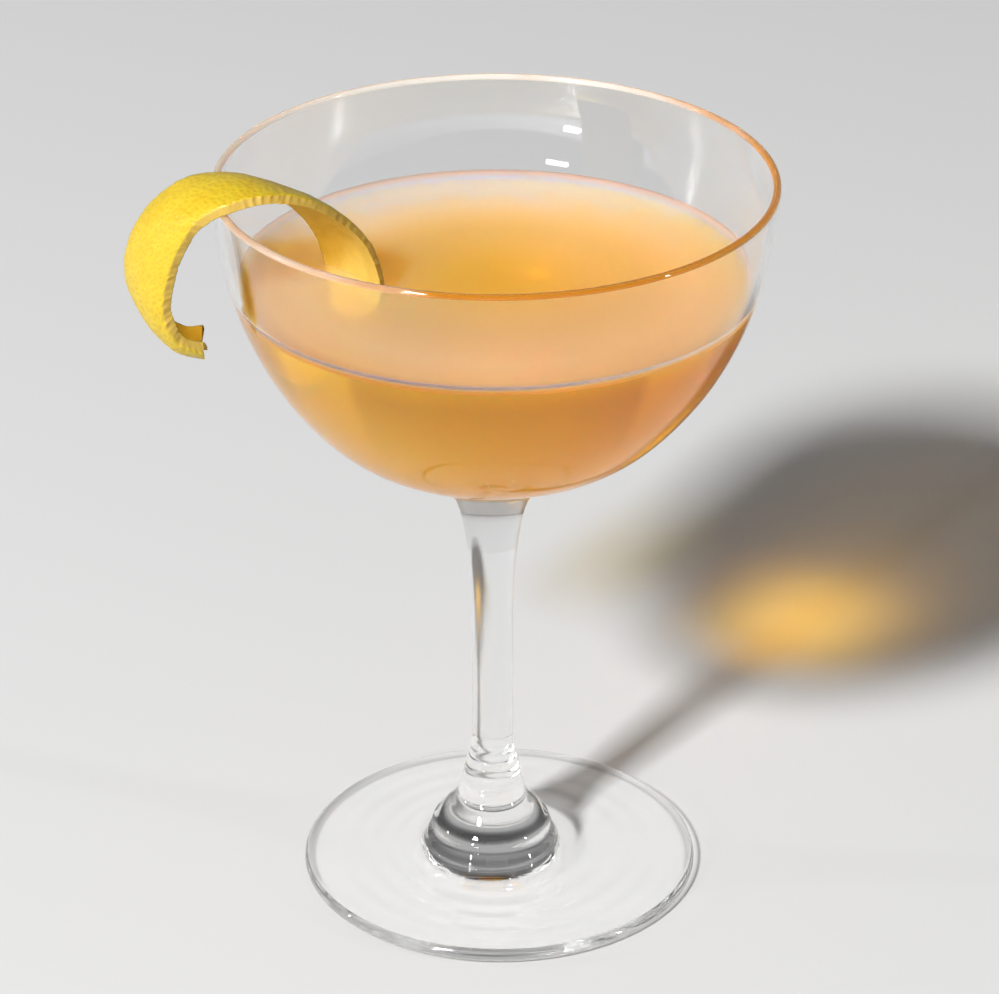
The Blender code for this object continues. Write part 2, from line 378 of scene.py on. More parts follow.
def soda_lime_glass():
    """Blown soda-lime glass: colourless, sharp where it bends light, with faint streaks from the drawing."""
    mat, tree, shader = new_material(
        "blown soda-lime glass", Transmission_Weight=1.0, IOR=1.52, Roughness=0.0,
    )
    place = add_node(tree, "ShaderNodeTexCoord").outputs["Object"]
    streaks = add_node(tree, "ShaderNodeMapping", {"Vector": place, "Scale": (1.0, 1.0, 0.25)}).outputs[0]
    cloud = add_node(
        tree, "ShaderNodeTexNoise", {"Vector": streaks, "Scale": 90.0, "Detail": 2.0},
    ).outputs[0]
    tint = add_node(
        tree, "ShaderNodeMix", {0: cloud, 6: linear("#FDFDFD"), 7: linear("#F8F9F8")}, data_type="RGBA",
    ).outputs[2]
    tree.links.new(tint, shader.inputs["Base Color"])
    bump = add_node(
        tree, "ShaderNodeBump", {"Height": cloud, "Strength": 0.25, "Distance": 0.05 * MM},
    ).outputs[0]
    tree.links.new(bump, shader.inputs["Normal"])
    parts = add_node(tree, "ShaderNodeSeparateXYZ", {0: place}).outputs
    across = add_node(tree, "ShaderNodeCombineXYZ", {"X": parts["X"], "Y": parts["Y"]}).outputs[0]
    height = add_node(
        tree, "ShaderNodeMath", {0: parts["Z"], 1: GLASS_HEIGHT * MM}, operation="DIVIDE",
    ).outputs[0]
    kept = add_node(tree, "ShaderNodeValToRGB", {0: height})
    stops = kept.color_ramp.elements
    stops.remove(stops[1])
    for place_up, code in LIGHT_KEPT:
        stop = stops.new(place_up / GLASS_HEIGHT) if place_up else stops[0]
        stop.color = linear(code)
    hit = add_node(tree, "ShaderNodeNewGeometry").outputs
    away = add_node(
        tree, "ShaderNodeVectorMath", {0: hit["Normal"], 1: across}, operation="DOT_PRODUCT",
    ).outputs["Value"]
    outer = add_node(
        tree, "ShaderNodeMath", {0: away, 1: OUTER_WALL_LEAST * MM}, operation="GREATER_THAN",
    ).outputs[0]
    leaving = add_node(
        tree, "ShaderNodeMath", {0: outer, 1: hit["Backfacing"]}, operation="SUBTRACT", use_clamp=True,
    ).outputs[0]
    outside = dark_edge_on(tree, kept.outputs[0], linear("#303030"))
    over_foot = add_node(
        tree, "ShaderNodeMath", {0: parts["Z"], 1: FOOT_LIGHT_TOP * MM}, operation="GREATER_THAN",
    ).outputs[0]
    entering = add_node(
        tree, "ShaderNodeMix", {0: over_foot, 6: FOOT_GATHERS, 7: linear("#FCFCFC")}, data_type="RGBA",
    ).outputs[2]
    over_stem = add_node(
        tree, "ShaderNodeMapRange", {0: parts["Z"], 1: NECK_FROM[0] * MM, 2: NECK_FROM[1] * MM},
    ).outputs[0]
    under_bowl = add_node(
        tree, "ShaderNodeMapRange", {0: parts["Z"], 1: NECK_DOWN_FROM[0] * MM, 2: NECK_DOWN_FROM[1] * MM},
    ).outputs[0]
    at_neck = add_node(
        tree, "ShaderNodeMath", {0: over_stem, 1: under_bowl}, operation="MULTIPLY",
    ).outputs[0]
    bent = add_node(
        tree, "ShaderNodeMix", {0: at_neck, 6: entering, 7: NECK_GATHERS}, data_type="RGBA",
    ).outputs[2]
    passed = add_node(tree, "ShaderNodeMix", {0: leaving, 6: bent, 7: outside}, data_type="RGBA").outputs[2]
    let_light_through(tree, shader, passed, SOFT_AND_LAMP_LIGHT)
    return mat


def fire_polished_lip():
    """The rounded lip, painted cream and amber as a painted glow for light the wall carries up from the
    drink.
    """
    mat, tree, shader = new_material("fire-polished lip", Transmission_Weight=0.6, IOR=1.52, Roughness=0.0)
    place = add_node(tree, "ShaderNodeTexCoord").outputs["Object"]
    swirl = add_node(tree, "ShaderNodeTexNoise", {"Vector": place, "Scale": 40.0, "Detail": 2.0}).outputs[0]
    # Painted glow: the amber is laid on more towards one side of the lip, with a swirl through it
    side = add_node(
        tree, "ShaderNodeVectorMath", {0: place, 1: (9.0, -7.0, 0.0)}, operation="DOT_PRODUCT",
    ).outputs["Value"]
    painted_glow = add_node(tree, "ShaderNodeMath", {0: swirl, 1: side}, operation="ADD").outputs[0]
    share = add_node(tree, "ShaderNodeMapRange", {0: painted_glow, 1: 0.2, 2: 0.85}).outputs[0]
    colour = add_node(
        tree, "ShaderNodeMix", {0: share, 6: linear("#F4EFE4"), 7: linear("#C47E22")}, data_type="RGBA",
    ).outputs[2]
    tree.links.new(colour, shader.inputs["Base Color"])
    let_light_through(
        tree, shader, dark_edge_on(tree, linear("#FBFBFB"), linear("#8A7A60")), SOFT_AND_LAMP_LIGHT,
    )
    return mat


turning = turning_tree()
glass = made_by_nodes(
    "coupe_glass", section_object("glass section", glass_section()), turning,
    {
        "Segments": TURNING_SEGMENTS,
        "Out of round": OUT_OF_ROUND * MM,
        "Wave length": OUT_OF_ROUND_SIZE * MM,
        "Material": soda_lime_glass(),
    },
)
finish_above(glass, GLASS_HEIGHT - LIP_DEPTH, fire_polished_lip())
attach(glass, "root")
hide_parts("glass")

# Lemon twist
# A strip of lemon rind cut with a knife: thin waxy zest full of oil glands over a little pale pith.
# It hooks over the rim; one end is torn and the other dips into the drink. Its pits are pressed in by nodes.
PEEL_THICKNESS = 1.9
TORN_NOTCH = 2.4
NOTCH_PLACE = 0.72
NOTCH_WIDTH = 0.13
CORNER_WEAR = 1.2
END_ROUNDING = 1.4
# How far along the strip the torn and the rounded end reach, in gaps between stations
TORN_REACH = 5 / 3
ROUNDED_REACH = 2.0
PEEL_STEPS = 30
ZEST_POINTS = 45
CUT_POINTS = 4
CUT_NEAR = 1.15
CUT_FAR = 0.35
PIT_SPACING = 1.05
PIT_DEPTH = 0.11
PIT_SCATTER = 0.85
PITH_RELIEF = 0.14
# From the torn outer end, over the rim, into the drink: near edge, far edge, bulge of the zest side
PEEL_STATIONS = (
    ((-51.0, -10.5, 112.3), (-51.6, -2.0, 112.2), 3.7),
    ((-55.2, -12.0, 114.4), (-56.6, -2.0, 112.2), 2.9),
    ((-57.3, -13.5, 119.6), (-62.4, -2.0, 115.6), 2.0),
    ((-56.6, -14.5, 125.8), (-65.4, -2.5, 121.2), 1.5),
    ((-54.4, -15.8, 132.4), (-65.0, -3.2, 128.6), 1.2),
    ((-50.9, -17.6, 138.2), (-60.9, -4.0, 136.2), 1.0),
    ((-45.6, -18.0, 141.2), (-53.9, -4.6, 141.4), 0.9),
    ((-39.4, -16.2, 142.0), (-45.6, -3.6, 141.3), 1.0),
    ((-32.6, -12.0, 139.6), (-37.2, 0.4, 134.8), 1.2),
    ((-26.6, -7.6, 134.2), (-33.2, 5.2, 127.8), 1.5),
    ((-22.4, -5.4, 128.2), (-31.6, 7.0, 122.6), 1.6),
    ((-20.4, -6.2, 121.4), (-30.4, 4.6, 117.6), 1.4),
    ((-21.4, -7.6, 114.6), (-30.4, 1.0, 113.0), 1.2),
    ((-25.0, -7.6, 109.4), (-30.8, -2.4, 109.8), 0.8),
)


def torn(across):
    """How far the torn end is set back, in millimetres: two points with a notch between them."""
    notch = TORN_NOTCH * math.exp(-((across - NOTCH_PLACE) / NOTCH_WIDTH) ** 2)
    return notch + CORNER_WEAR * (2 * across - 1) ** 4


def rough_line(along, seed, coarse, fine):
    """Unevenness of a cut edge in millimetres: slow waves of the knife and small torn fibres."""
    slow = noise.noise(Vector((along / 6.0, seed, 0.0)))
    quick = noise.noise(Vector((along / 0.9, seed + 9.0, 0.0)))
    return coarse * slow + fine * quick


def peel_rings():
    """Cross sections of the strip as rings of (place, along, across, zest), all lengths in millimetres."""
    near = smooth_through([Vector(station[0]) for station in PEEL_STATIONS], PEEL_STEPS)
    far = smooth_through([Vector(station[1]) for station in PEEL_STATIONS], PEEL_STEPS)
    bulge = smooth_through([Vector((station[2], 0.0)) for station in PEEL_STATIONS], PEEL_STEPS)
    count = len(near)
    travelled = 0.0
    rings = []
    for k in range(count):
        ahead = min(k + 1, count - 1)
        behind = max(k - 1, 0)
        travelled += ((near[k] + far[k] - near[behind] - far[behind]) / 2).length
        along = (near[ahead] + far[ahead] - near[behind] - far[behind]).normalized()
        across = far[k] - near[k]
        width = across.length
        side = across / width
        outward = along.cross(across).normalized()
        start_fade = max(0.0, 1.0 - k / PEEL_STEPS / TORN_REACH)
        end_fade = max(0.0, 1.0 - (count - 1 - k) / PEEL_STEPS / ROUNDED_REACH)

        def surface(v, level):
            """Place at v across the strip and level between the pith at -1 and the zest at 1."""
            lift = bulge[k].x * 4 * v * (1 - v)
            tilt = math.atan2(bulge[k].x * 4 * (1 - 2 * v), width)
            normal = outward * math.cos(tilt) - side * math.sin(tilt)
            rim = 1.0 - 0.35 * abs(2 * v - 1) ** 6
            rounding = END_ROUNDING * (2 * v - 1) ** 4 * end_fade
            moved = along * (torn(v) * start_fade - rounding)
            return near[k] + across * v + outward * lift + moved + normal * level * rim * PEEL_THICKNESS / 2

        near_rough = rough_line(travelled, 3.0, 0.25, 0.22) / width
        far_rough = rough_line(travelled, 17.0, 0.15, 0.08) / width
        zest_start = (CUT_NEAR + rough_line(travelled, 31.0, 0.3, 0.45)) / width
        zest_end = 1.0 - (CUT_FAR + rough_line(travelled, 47.0, 0.1, 0.1)) / width
        low, high = near_rough, 1.0 - abs(far_rough)
        ring = []
        for i in range(ZEST_POINTS):
            v = zest_start + (zest_end - zest_start) * i / (ZEST_POINTS - 1)
            ring.append((surface(v, 1.0), travelled, v * width, 1.0))
        for i in range(1, CUT_POINTS + 1):
            t = i / (CUT_POINTS + 1)
            v = zest_end + (high - zest_end) * math.sin(t * math.pi / 2)
            ring.append((surface(v, math.cos(t * math.pi)), travelled, v * width, 0.0))
        for i in range(ZEST_POINTS):
            v = high + (low - high) * i / (ZEST_POINTS - 1)
            ring.append((surface(v, -1.0), travelled, v * width, 0.0))
        for i in range(1, CUT_POINTS + 1):
            t = i / (CUT_POINTS + 1)
            v = low + (zest_start - low) * t ** 1.5
            ring.append((surface(v, 2 * t - 1), travelled, v * width, 0.0))
        rings.append(ring)
    return rings


def peel_body():
    """The strip before its surface is worked, with along, across and zest kept at each point."""
    bm = bmesh.new()
    layers = [bm.verts.layers.float.new(name) for name in ("along", "across", "zest")]
    rings = []
    for section in peel_rings():
        ring = []
        for place, *marks in section:
            vert = bm.verts.new(place * MM)
            for layer, mark in zip(layers, marks):
                vert[layer] = mark
            ring.append(vert)
        rings.append(ring)
    size = len(rings[0])
    for start, end in zip(rings, rings[1:]):
        for i in range(size):
            j = (i + 1) % size
            bm.faces.new((start[i], start[j], end[j], end[i]))
    for ring in (rings[0], rings[-1]):
        middle = bm.verts.new(sum((vert.co for vert in ring), Vector()) / size)
        for layer in layers:
            middle[layer] = 0.0
        for i in range(size):
            bm.faces.new((ring[i], ring[(i + 1) % size], middle))
    bmesh.ops.recalc_face_normals(bm, faces=bm.faces)
    mesh = bpy.data.meshes.new("peel body")
    bm.to_mesh(mesh)
    bm.free()
    obj = bpy.data.objects.new("peel body", mesh)
    bpy.context.scene.collection.objects.link(obj)
    return obj


def rind_tree():
    """Geometry Nodes that press the oil glands' pits into the zest and raise the fibres of the pith."""
    tree = bpy.data.node_groups.new("lemon rind", "GeometryNodeTree")
    sockets = (
        ("Strip", "NodeSocketGeometry"),
        ("Pit spacing", "NodeSocketFloat"),
        ("Pit depth", "NodeSocketFloat"),
        ("Pith relief", "NodeSocketFloat"),
        ("Material", "NodeSocketMaterial"),
    )
    for name, kind in sockets:
        tree.interface.new_socket(name, in_out="INPUT", socket_type=kind)
    tree.interface.new_socket("Rind", in_out="OUTPUT", socket_type="NodeSocketGeometry")
    given = add_node(tree, "NodeGroupInput").outputs
    along = add_node(
        tree, "GeometryNodeInputNamedAttribute", {"Name": "along"}, data_type="FLOAT",
    ).outputs[0]
    across = add_node(
        tree, "GeometryNodeInputNamedAttribute", {"Name": "across"}, data_type="FLOAT",
    ).outputs[0]
    zest = add_node(tree, "GeometryNodeInputNamedAttribute", {"Name": "zest"}, data_type="FLOAT").outputs[0]
    flat = add_node(tree, "ShaderNodeCombineXYZ", {"X": along, "Y": across}).outputs[0]
    per_pit = add_node(
        tree, "ShaderNodeMath", {0: 1.0, 1: given["Pit spacing"]}, operation="DIVIDE",
    ).outputs[0]
    pits = add_node(
        tree, "ShaderNodeTexVoronoi",
        {"Vector": flat, "Scale": per_pit, "Smoothness": 0.4, "Randomness": PIT_SCATTER},
        voronoi_dimensions="2D", feature="SMOOTH_F1",
    ).outputs["Distance"]
    hollow = add_node(
        tree, "ShaderNodeMapRange", {0: pits, 1: 0.05, 2: 0.5, 3: -1.0, 4: 0.0},
        interpolation_type="SMOOTHSTEP",
    ).outputs[0]
    swell = add_node(tree, "ShaderNodeTexNoise", {"Vector": flat, "Scale": 0.22, "Detail": 2.0}).outputs[0]
    depth = add_node(
        tree, "ShaderNodeMath", {0: hollow, 1: given["Pit depth"]}, operation="MULTIPLY",
    ).outputs[0]
    pitted = add_node(tree, "ShaderNodeMath", {0: depth, 1: zest}, operation="MULTIPLY").outputs[0]
    fibres = add_node(tree, "ShaderNodeTexNoise", {"Vector": flat, "Scale": 1.1, "Detail": 3.0}).outputs[0]
    pith = add_node(tree, "ShaderNodeMath", {0: 1.0, 1: zest}, operation="SUBTRACT").outputs[0]
    relief = add_node(
        tree, "ShaderNodeMath", {0: fibres, 1: given["Pith relief"]}, operation="MULTIPLY",
    ).outputs[0]
    furred = add_node(tree, "ShaderNodeMath", {0: relief, 1: pith}, operation="MULTIPLY").outputs[0]
    both = add_node(tree, "ShaderNodeMath", {0: pitted, 1: furred}, operation="SUBTRACT").outputs[0]
    waves = add_node(
        tree, "ShaderNodeMapRange", {0: swell, 1: 0.3, 2: 0.7, 3: -0.16 * MM, 4: 0.0},
    ).outputs[0]
    offset = add_node(tree, "ShaderNodeMath", {0: both, 1: waves}, operation="ADD").outputs[0]
    normal = add_node(tree, "GeometryNodeInputNormal").outputs[0]
    push = add_node(tree, "ShaderNodeVectorMath", {0: normal, "Scale": offset}, operation="SCALE").outputs[0]
    moved = add_node(
        tree, "GeometryNodeSetPosition", {"Geometry": given["Strip"], "Offset": push},
    ).outputs[0]
    smooth = add_node(tree, "GeometryNodeSetShadeSmooth", {"Geometry": moved}).outputs[0]
    real = add_node(tree, "GeometryNodeRealizeInstances", {"Geometry": smooth}).outputs[0]
    done = add_node(
        tree, "GeometryNodeSetMaterial", {"Geometry": real, "Material": given["Material"]},
    ).outputs[0]
    add_node(tree, "NodeGroupOutput", {0: done})
    return tree


def lemon_rind():
    """Fresh lemon rind: waxy yellow zest, darker in its pits, over cream pith that light soaks into; the
    pith is painted golden olive, partly the yellow showing through it and partly painted shade.
    """
    mat, tree, shader = new_material(
        "fresh lemon rind", IOR=1.42, Subsurface_Weight=0.35, Subsurface_Scale=1.2 * MM,
        Subsurface_Radius=(1.0, 0.75, 0.2),
    )
    zest = add_node(tree, "ShaderNodeAttribute", attribute_name="zest").outputs["Fac"]
    along = add_node(tree, "ShaderNodeAttribute", attribute_name="along").outputs["Fac"]
    across = add_node(tree, "ShaderNodeAttribute", attribute_name="across").outputs["Fac"]
    flat = add_node(tree, "ShaderNodeCombineXYZ", {"X": along, "Y": across}).outputs[0]
    blotch = add_node(tree, "ShaderNodeTexNoise", {"Vector": flat, "Scale": 0.28, "Detail": 3.0}).outputs[0]
    pits = add_node(
        tree, "ShaderNodeTexVoronoi",
        {"Vector": flat, "Scale": 1.0 / PIT_SPACING, "Randomness": PIT_SCATTER},
        voronoi_dimensions="2D",
    ).outputs["Distance"]
    pit_mask = add_node(
        tree, "ShaderNodeMapRange", {0: pits, 1: 0.1, 2: 0.45, 3: 0.35, 4: 0.0},
        interpolation_type="SMOOTHSTEP",
    ).outputs[0]
    zest_colour = add_node(
        tree, "ShaderNodeMix", {0: blotch, 6: linear("#C8B22E"), 7: linear("#BE9C1C")}, data_type="RGBA",
    ).outputs[2]
    zest_pitted = add_node(
        tree, "ShaderNodeMix", {0: pit_mask, 6: zest_colour, 7: linear("#AE8410")}, data_type="RGBA",
    ).outputs[2]
    # Pith: golden olive, partly the yellow showing through it and partly painted shade
    pith_colour_and_shade = add_node(
        tree, "ShaderNodeMix", {0: blotch, 6: linear("#C6A850"), 7: linear("#AE8A2C")}, data_type="RGBA",
    ).outputs[2]
    skin = add_node(
        tree, "ShaderNodeMapRange", {0: zest, 1: 0.35, 2: 0.65}, interpolation_type="SMOOTHSTEP",
    ).outputs[0]
    colour = add_node(
        tree, "ShaderNodeMix", {0: skin, 6: pith_colour_and_shade, 7: zest_pitted}, data_type="RGBA",
    ).outputs[2]
    tree.links.new(colour, shader.inputs["Base Color"])
    gloss = add_node(tree, "ShaderNodeMapRange", {0: skin, 3: 0.62, 4: 0.38}).outputs[0]
    tree.links.new(gloss, shader.inputs["Roughness"])
    grain = add_node(tree, "ShaderNodeTexNoise", {"Vector": flat, "Scale": 3.5, "Detail": 4.0}).outputs[0]
    bump = add_node(
        tree, "ShaderNodeBump", {"Height": grain, "Strength": 0.35, "Distance": 0.12 * MM},
    ).outputs[0]
    tree.links.new(bump, shader.inputs["Normal"])
    let_light_through(tree, shader, linear("#E6D8A0"))
    return mat


lemon_twist = made_by_nodes(
    "lemon_peel", peel_body(), rind_tree(),
    {
        "Pit spacing": PIT_SPACING,
        "Pit depth": PIT_DEPTH * MM,
        "Pith relief": PITH_RELIEF * MM,
        "Material": lemon_rind(),
    },
)
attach(lemon_twist, "root")
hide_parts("lemon_twist")

# Drink
# Cognac, orange liqueur and lemon juice, shaken and strained: clear amber when thin, cloudy orange in depth.
# It reaches just into the bowl's wall, and climbs the glass and the peel a little, as liquid does.
LEVEL = 120.0
MENISCUS_RISE = 1.7
MENISCUS_WIDTH = 1.5
PEEL_CLIMB = 0.8
PEEL_CLIMB_WIDTH = 0.9
REACH_INTO_WALL = 0.25
WETTED_EDGE = 0.3
SURFACE_ROWS = 64
# Over 1, the rows of the surface crowd towards the wall
ROW_CROWDING = 1.25
WALL_STEP = 0.9


def drink_section():
    """The section from the bottom up the wall to the wetted edge, then over the surface to its middle."""
    top = LEVEL + MENISCUS_RISE
    wall = []
    for i in range(100):
        angle = WALL_STEP * i
        point = bowl_point(angle, wall_at(angle) - REACH_INTO_WALL)
        if point.y >= top:
            break
        wall.append(point)
    edge = wall[-1].x + WETTED_EDGE
    surface = []
    for i in range(SURFACE_ROWS + 1):
        radius = edge * (1.0 - (i / SURFACE_ROWS) ** ROW_CROWDING)
        climb = MENISCUS_RISE * math.exp((radius - edge + REACH_INTO_WALL) / MENISCUS_WIDTH)
        surface.append(Vector((radius, LEVEL + min(MENISCUS_RISE, climb))))
    return wall + surface


# The warm spot's light passes below these heights: where its share starts, and where it is full
WARM_SPOT_FROM = (89.5, 86.0)
WARM_SPOT_GAIN = (1.8, 1.95, 3.6, 1.0)
WALL_KEEPS = (0.55, 0.5, 0.45, 1.0)


def lamp_light_kept(tree, height, on_top):
    """What a lamp's light keeps: all at the open surface, and part of it at the wall.

    It gains where the bowl's bottom gathers it into the warm spot that the drink throws on the table.
    """
    low = add_node(
        tree, "ShaderNodeMapRange", {0: height, 1: WARM_SPOT_FROM[0] * MM, 2: WARM_SPOT_FROM[1] * MM},
        interpolation_type="SMOOTHSTEP",
    ).outputs[0]
    wall = dark_edge_on(tree, WALL_KEEPS, linear("#3A3028"))
    side = add_node(
        tree, "ShaderNodeMix", {0: low, 6: wall, 7: WARM_SPOT_GAIN}, data_type="RGBA",
    ).outputs[2]
    return add_node(
        tree, "ShaderNodeMix", {0: on_top, 6: side, 7: linear("#FFFFFF")}, data_type="RGBA",
    ).outputs[2]


# Haze of the open surface: (share of the radius, colour), golden over the depth and pale over the thin edge;
# the paleness is partly the thin layer and partly a painted reflection of the bright room
SURFACE_RADIUS = 46.0
SURFACE_HAZE_AND_VEIL_COLOURS = (
    (0.0, "#DCC03C"),
    (0.2, "#DCC44A"),
    (0.5, "#DAC878"),
    (0.75, "#ECD898"),
    (0.9, "#ECCA80"),
    (1.0, "#BF822A"),
)
# Pale bluish-white at the back of the surface, partly thin foam and partly a painted reflection of the room:
# full this far behind the middle and spread over these shares of the radius
FOAM_AND_REFLECTION_COLOUR = "#D6E0EA"
FOAM_AND_REFLECTION_FULL_AT = 34.0
FOAM_AND_REFLECTION_SPREAD = (0.52, 0.96)
# The wetted edge, painted pale cream as a painted highlight on the meniscus, between these rises over the
# level
PAINTED_MENISCUS_HIGHLIGHT = "#F2CEA8"
WET_EDGE = (0.5, 1.3)
# Painted shade on the right side of the surface: its darker, greener colour, and how much of it the surface
# takes how far from the middle
FAR_SIDE_SHADE_COLOUR = "#C4B450"
FAR_SIDE_SHADE_SHARE = 0.3
FAR_SIDE_SHADE_AT = 26.0
# Body: colour of its upper and lower part, each in two clouds, between these heights;
# the lower part is painted lighter, as painted light low in the bowl
BODY_UPPER = ("#B49808", "#A88A06")
BODY_LOWER_PAINTED_LIGHTER = ("#E2C60E", "#DABC0C")
BODY_HEIGHTS = (116.0, 98.0)
# Fogged patches at both sides of the wall: degrees from the front where one starts, is full, fades and ends
FOG_PATCH = (32, 35, 52, 56)


def strained_amber():
    """Cognac, orange liqueur and lemon juice: amber by its depth, and a juice haze that blurs what it hides.

    The haze shows golden orange through the wall, painted lighter low down as painted light, and paler over
    the thin edge of the open surface, partly as a painted reflection. At the back the surface takes foam and
    a painted reflection, at the meniscus a painted highlight, and on its right side painted shade. One
    material covers wall and surface, so that the absorption inside ends where light leaves the drink.
    """
    mat, tree, shader = new_material(
        "strained amber cocktail", Transmission_Weight=0.5, IOR=1.345, Specular_Tint=(0.3, 0.3, 0.3, 1.0),
        Subsurface_Weight=1.0, Subsurface_Scale=24.0 * MM, Subsurface_Radius=(1.0, 0.75, 0.3),
    )
    place = add_node(tree, "ShaderNodeTexCoord").outputs["Object"]
    parts = add_node(tree, "ShaderNodeSeparateXYZ", {0: place}).outputs
    haze = add_node(tree, "ShaderNodeTexNoise", {"Vector": place, "Scale": 45.0, "Detail": 3.0}).outputs[0]
    # Painted light: the body grows lighter going down
    upper_end, lower_end = BODY_HEIGHTS
    low = add_node(
        tree, "ShaderNodeMapRange", {0: parts["Z"], 1: upper_end * MM, 2: lower_end * MM},
    ).outputs[0]
    clouds = [
        add_node(
            tree, "ShaderNodeMix", {0: low, 6: linear(upper), 7: linear(lower)}, data_type="RGBA",
        ).outputs[2]
        for upper, lower in zip(BODY_UPPER, BODY_LOWER_PAINTED_LIGHTER)
    ]
    body = add_node(
        tree, "ShaderNodeMix", {0: haze, 6: clouds[0], 7: clouds[1]}, data_type="RGBA",
    ).outputs[2]
    ahead = add_node(tree, "ShaderNodeMath", {0: parts["Y"], 1: -1.0}, operation="MULTIPLY").outputs[0]
    bearing = add_node(tree, "ShaderNodeMath", {0: parts["X"], 1: ahead}, operation="ARCTAN2").outputs[0]
    turned = add_node(tree, "ShaderNodeMath", {0: bearing}, operation="ABSOLUTE").outputs[0]
    opens, full, fades, ends = [math.radians(turn) for turn in FOG_PATCH]
    start = add_node(tree, "ShaderNodeMapRange", {0: turned, 1: opens, 2: full}).outputs[0]
    end = add_node(tree, "ShaderNodeMapRange", {0: turned, 1: ends, 2: fades}).outputs[0]
    band = add_node(tree, "ShaderNodeMath", {0: start, 1: end}, operation="MULTIPLY").outputs[0]
    fog = add_node(tree, "ShaderNodeMapRange", {0: haze, 1: 0.2, 2: 0.8, 3: 0.35, 4: 0.7}).outputs[0]
    patch = add_node(tree, "ShaderNodeMath", {0: band, 1: fog}, operation="MULTIPLY").outputs[0]
    body = add_node(
        tree, "ShaderNodeMix", {0: patch, 6: body, 7: linear("#DCBC30")}, data_type="RGBA",
    ).outputs[2]
    behind = add_node(tree, "ShaderNodeNewGeometry").outputs["Backfacing"]
    wall = add_node(
        tree, "ShaderNodeMix", {0: behind, 6: body, 7: linear("#FFCE2C")}, data_type="RGBA",
    ).outputs[2]
    flat = add_node(tree, "ShaderNodeCombineXYZ", {"X": parts["X"], "Y": parts["Y"]}).outputs[0]
    radius = add_node(tree, "ShaderNodeVectorMath", {0: flat}, operation="LENGTH").outputs["Value"]
    thin = add_node(tree, "ShaderNodeMapRange", {0: radius, 1: 0.0, 2: SURFACE_RADIUS * MM}).outputs[0]
    # The open surface's colour by radius, pale towards the edge, partly as a painted reflection
    ramp = add_node(tree, "ShaderNodeValToRGB", {0: thin})
    stops = ramp.color_ramp.elements
    stops.remove(stops[1])
    for share, code in SURFACE_HAZE_AND_VEIL_COLOURS:
        stop = stops[0] if share == 0.0 else stops.new(share)
        stop.color = linear(code)
    # Pale bluish-white at the back of the surface: thin foam and a painted reflection
    back = add_node(tree, "ShaderNodeMapRange", {0: parts["Y"], 1: 0.0, 2: FOAM_AND_REFLECTION_FULL_AT * MM}).outputs[0]
    edge = add_node(
        tree, "ShaderNodeMapRange", {0: thin, 1: FOAM_AND_REFLECTION_SPREAD[0], 2: FOAM_AND_REFLECTION_SPREAD[1]},
        interpolation_type="SMOOTHSTEP",
    ).outputs[0]
    drift = add_node(tree, "ShaderNodeTexNoise", {"Vector": place, "Scale": 160.0, "Detail": 3.0}).outputs[0]
    ragged = add_node(tree, "ShaderNodeMapRange", {0: drift, 1: 0.2, 2: 0.7, 3: 0.7, 4: 1.25}).outputs[0]
    over_thin_edge = add_node(tree, "ShaderNodeMath", {0: back, 1: edge}, operation="MULTIPLY").outputs[0]
    foam_and_reflection = add_node(
        tree, "ShaderNodeMath", {0: over_thin_edge, 1: ragged}, operation="MULTIPLY", use_clamp=True,
    ).outputs[0]
    surface = add_node(
        tree, "ShaderNodeMix", {0: foam_and_reflection, 6: ramp.outputs[0], 7: linear(FOAM_AND_REFLECTION_COLOUR)}, data_type="RGBA",
    ).outputs[2]
    # Painted shade: the right side of the surface darker and greener
    far_side_shade = add_node(
        tree, "ShaderNodeMapRange", {0: parts["X"], 1: 0.0, 2: FAR_SIDE_SHADE_AT * MM, 4: FAR_SIDE_SHADE_SHARE},
    ).outputs[0]
    surface = add_node(
        tree, "ShaderNodeMix", {0: far_side_shade, 6: surface, 7: linear(FAR_SIDE_SHADE_COLOUR)}, data_type="RGBA",
    ).outputs[2]
    # Painted highlight along the meniscus at the wetted edge
    meniscus_highlight_mask = add_node(
        tree, "ShaderNodeMapRange",
        {0: parts["Z"], 1: (LEVEL + WET_EDGE[0]) * MM, 2: (LEVEL + WET_EDGE[1]) * MM},
    ).outputs[0]
    surface = add_node(
        tree, "ShaderNodeMix", {0: meniscus_highlight_mask, 6: surface, 7: linear(PAINTED_MENISCUS_HIGHLIGHT)}, data_type="RGBA",
    ).outputs[2]
    on_top = add_node(
        tree, "ShaderNodeMath", {0: parts["Z"], 1: (LEVEL - 0.2) * MM}, operation="GREATER_THAN",
    ).outputs[0]
    colour = add_node(tree, "ShaderNodeMix", {0: on_top, 6: wall, 7: surface}, data_type="RGBA").outputs[2]
    tree.links.new(colour, shader.inputs["Base Color"])
    cloud = add_node(tree, "ShaderNodeMapRange", {0: haze, 3: 0.14, 4: 0.26}).outputs[0]
    blurred = add_node(tree, "ShaderNodeMix", {0: behind, 2: cloud, 3: 0.5}).outputs[0]
    rough = add_node(tree, "ShaderNodeMix", {0: on_top, 2: blurred, 3: 0.35}).outputs[0]
    tree.links.new(rough, shader.inputs["Roughness"])
    depth = add_node(
        tree, "ShaderNodeVolumeAbsorption", {"Color": (0.968, 0.85, 0.22, 1.0), "Density": 100.0},
    ).outputs[0]
    tree.links.new(depth, tree.nodes["Material Output"].inputs["Volume"])
    let_light_through(tree, shader, lamp_light_kept(tree, parts["Z"], on_top))
    return mat


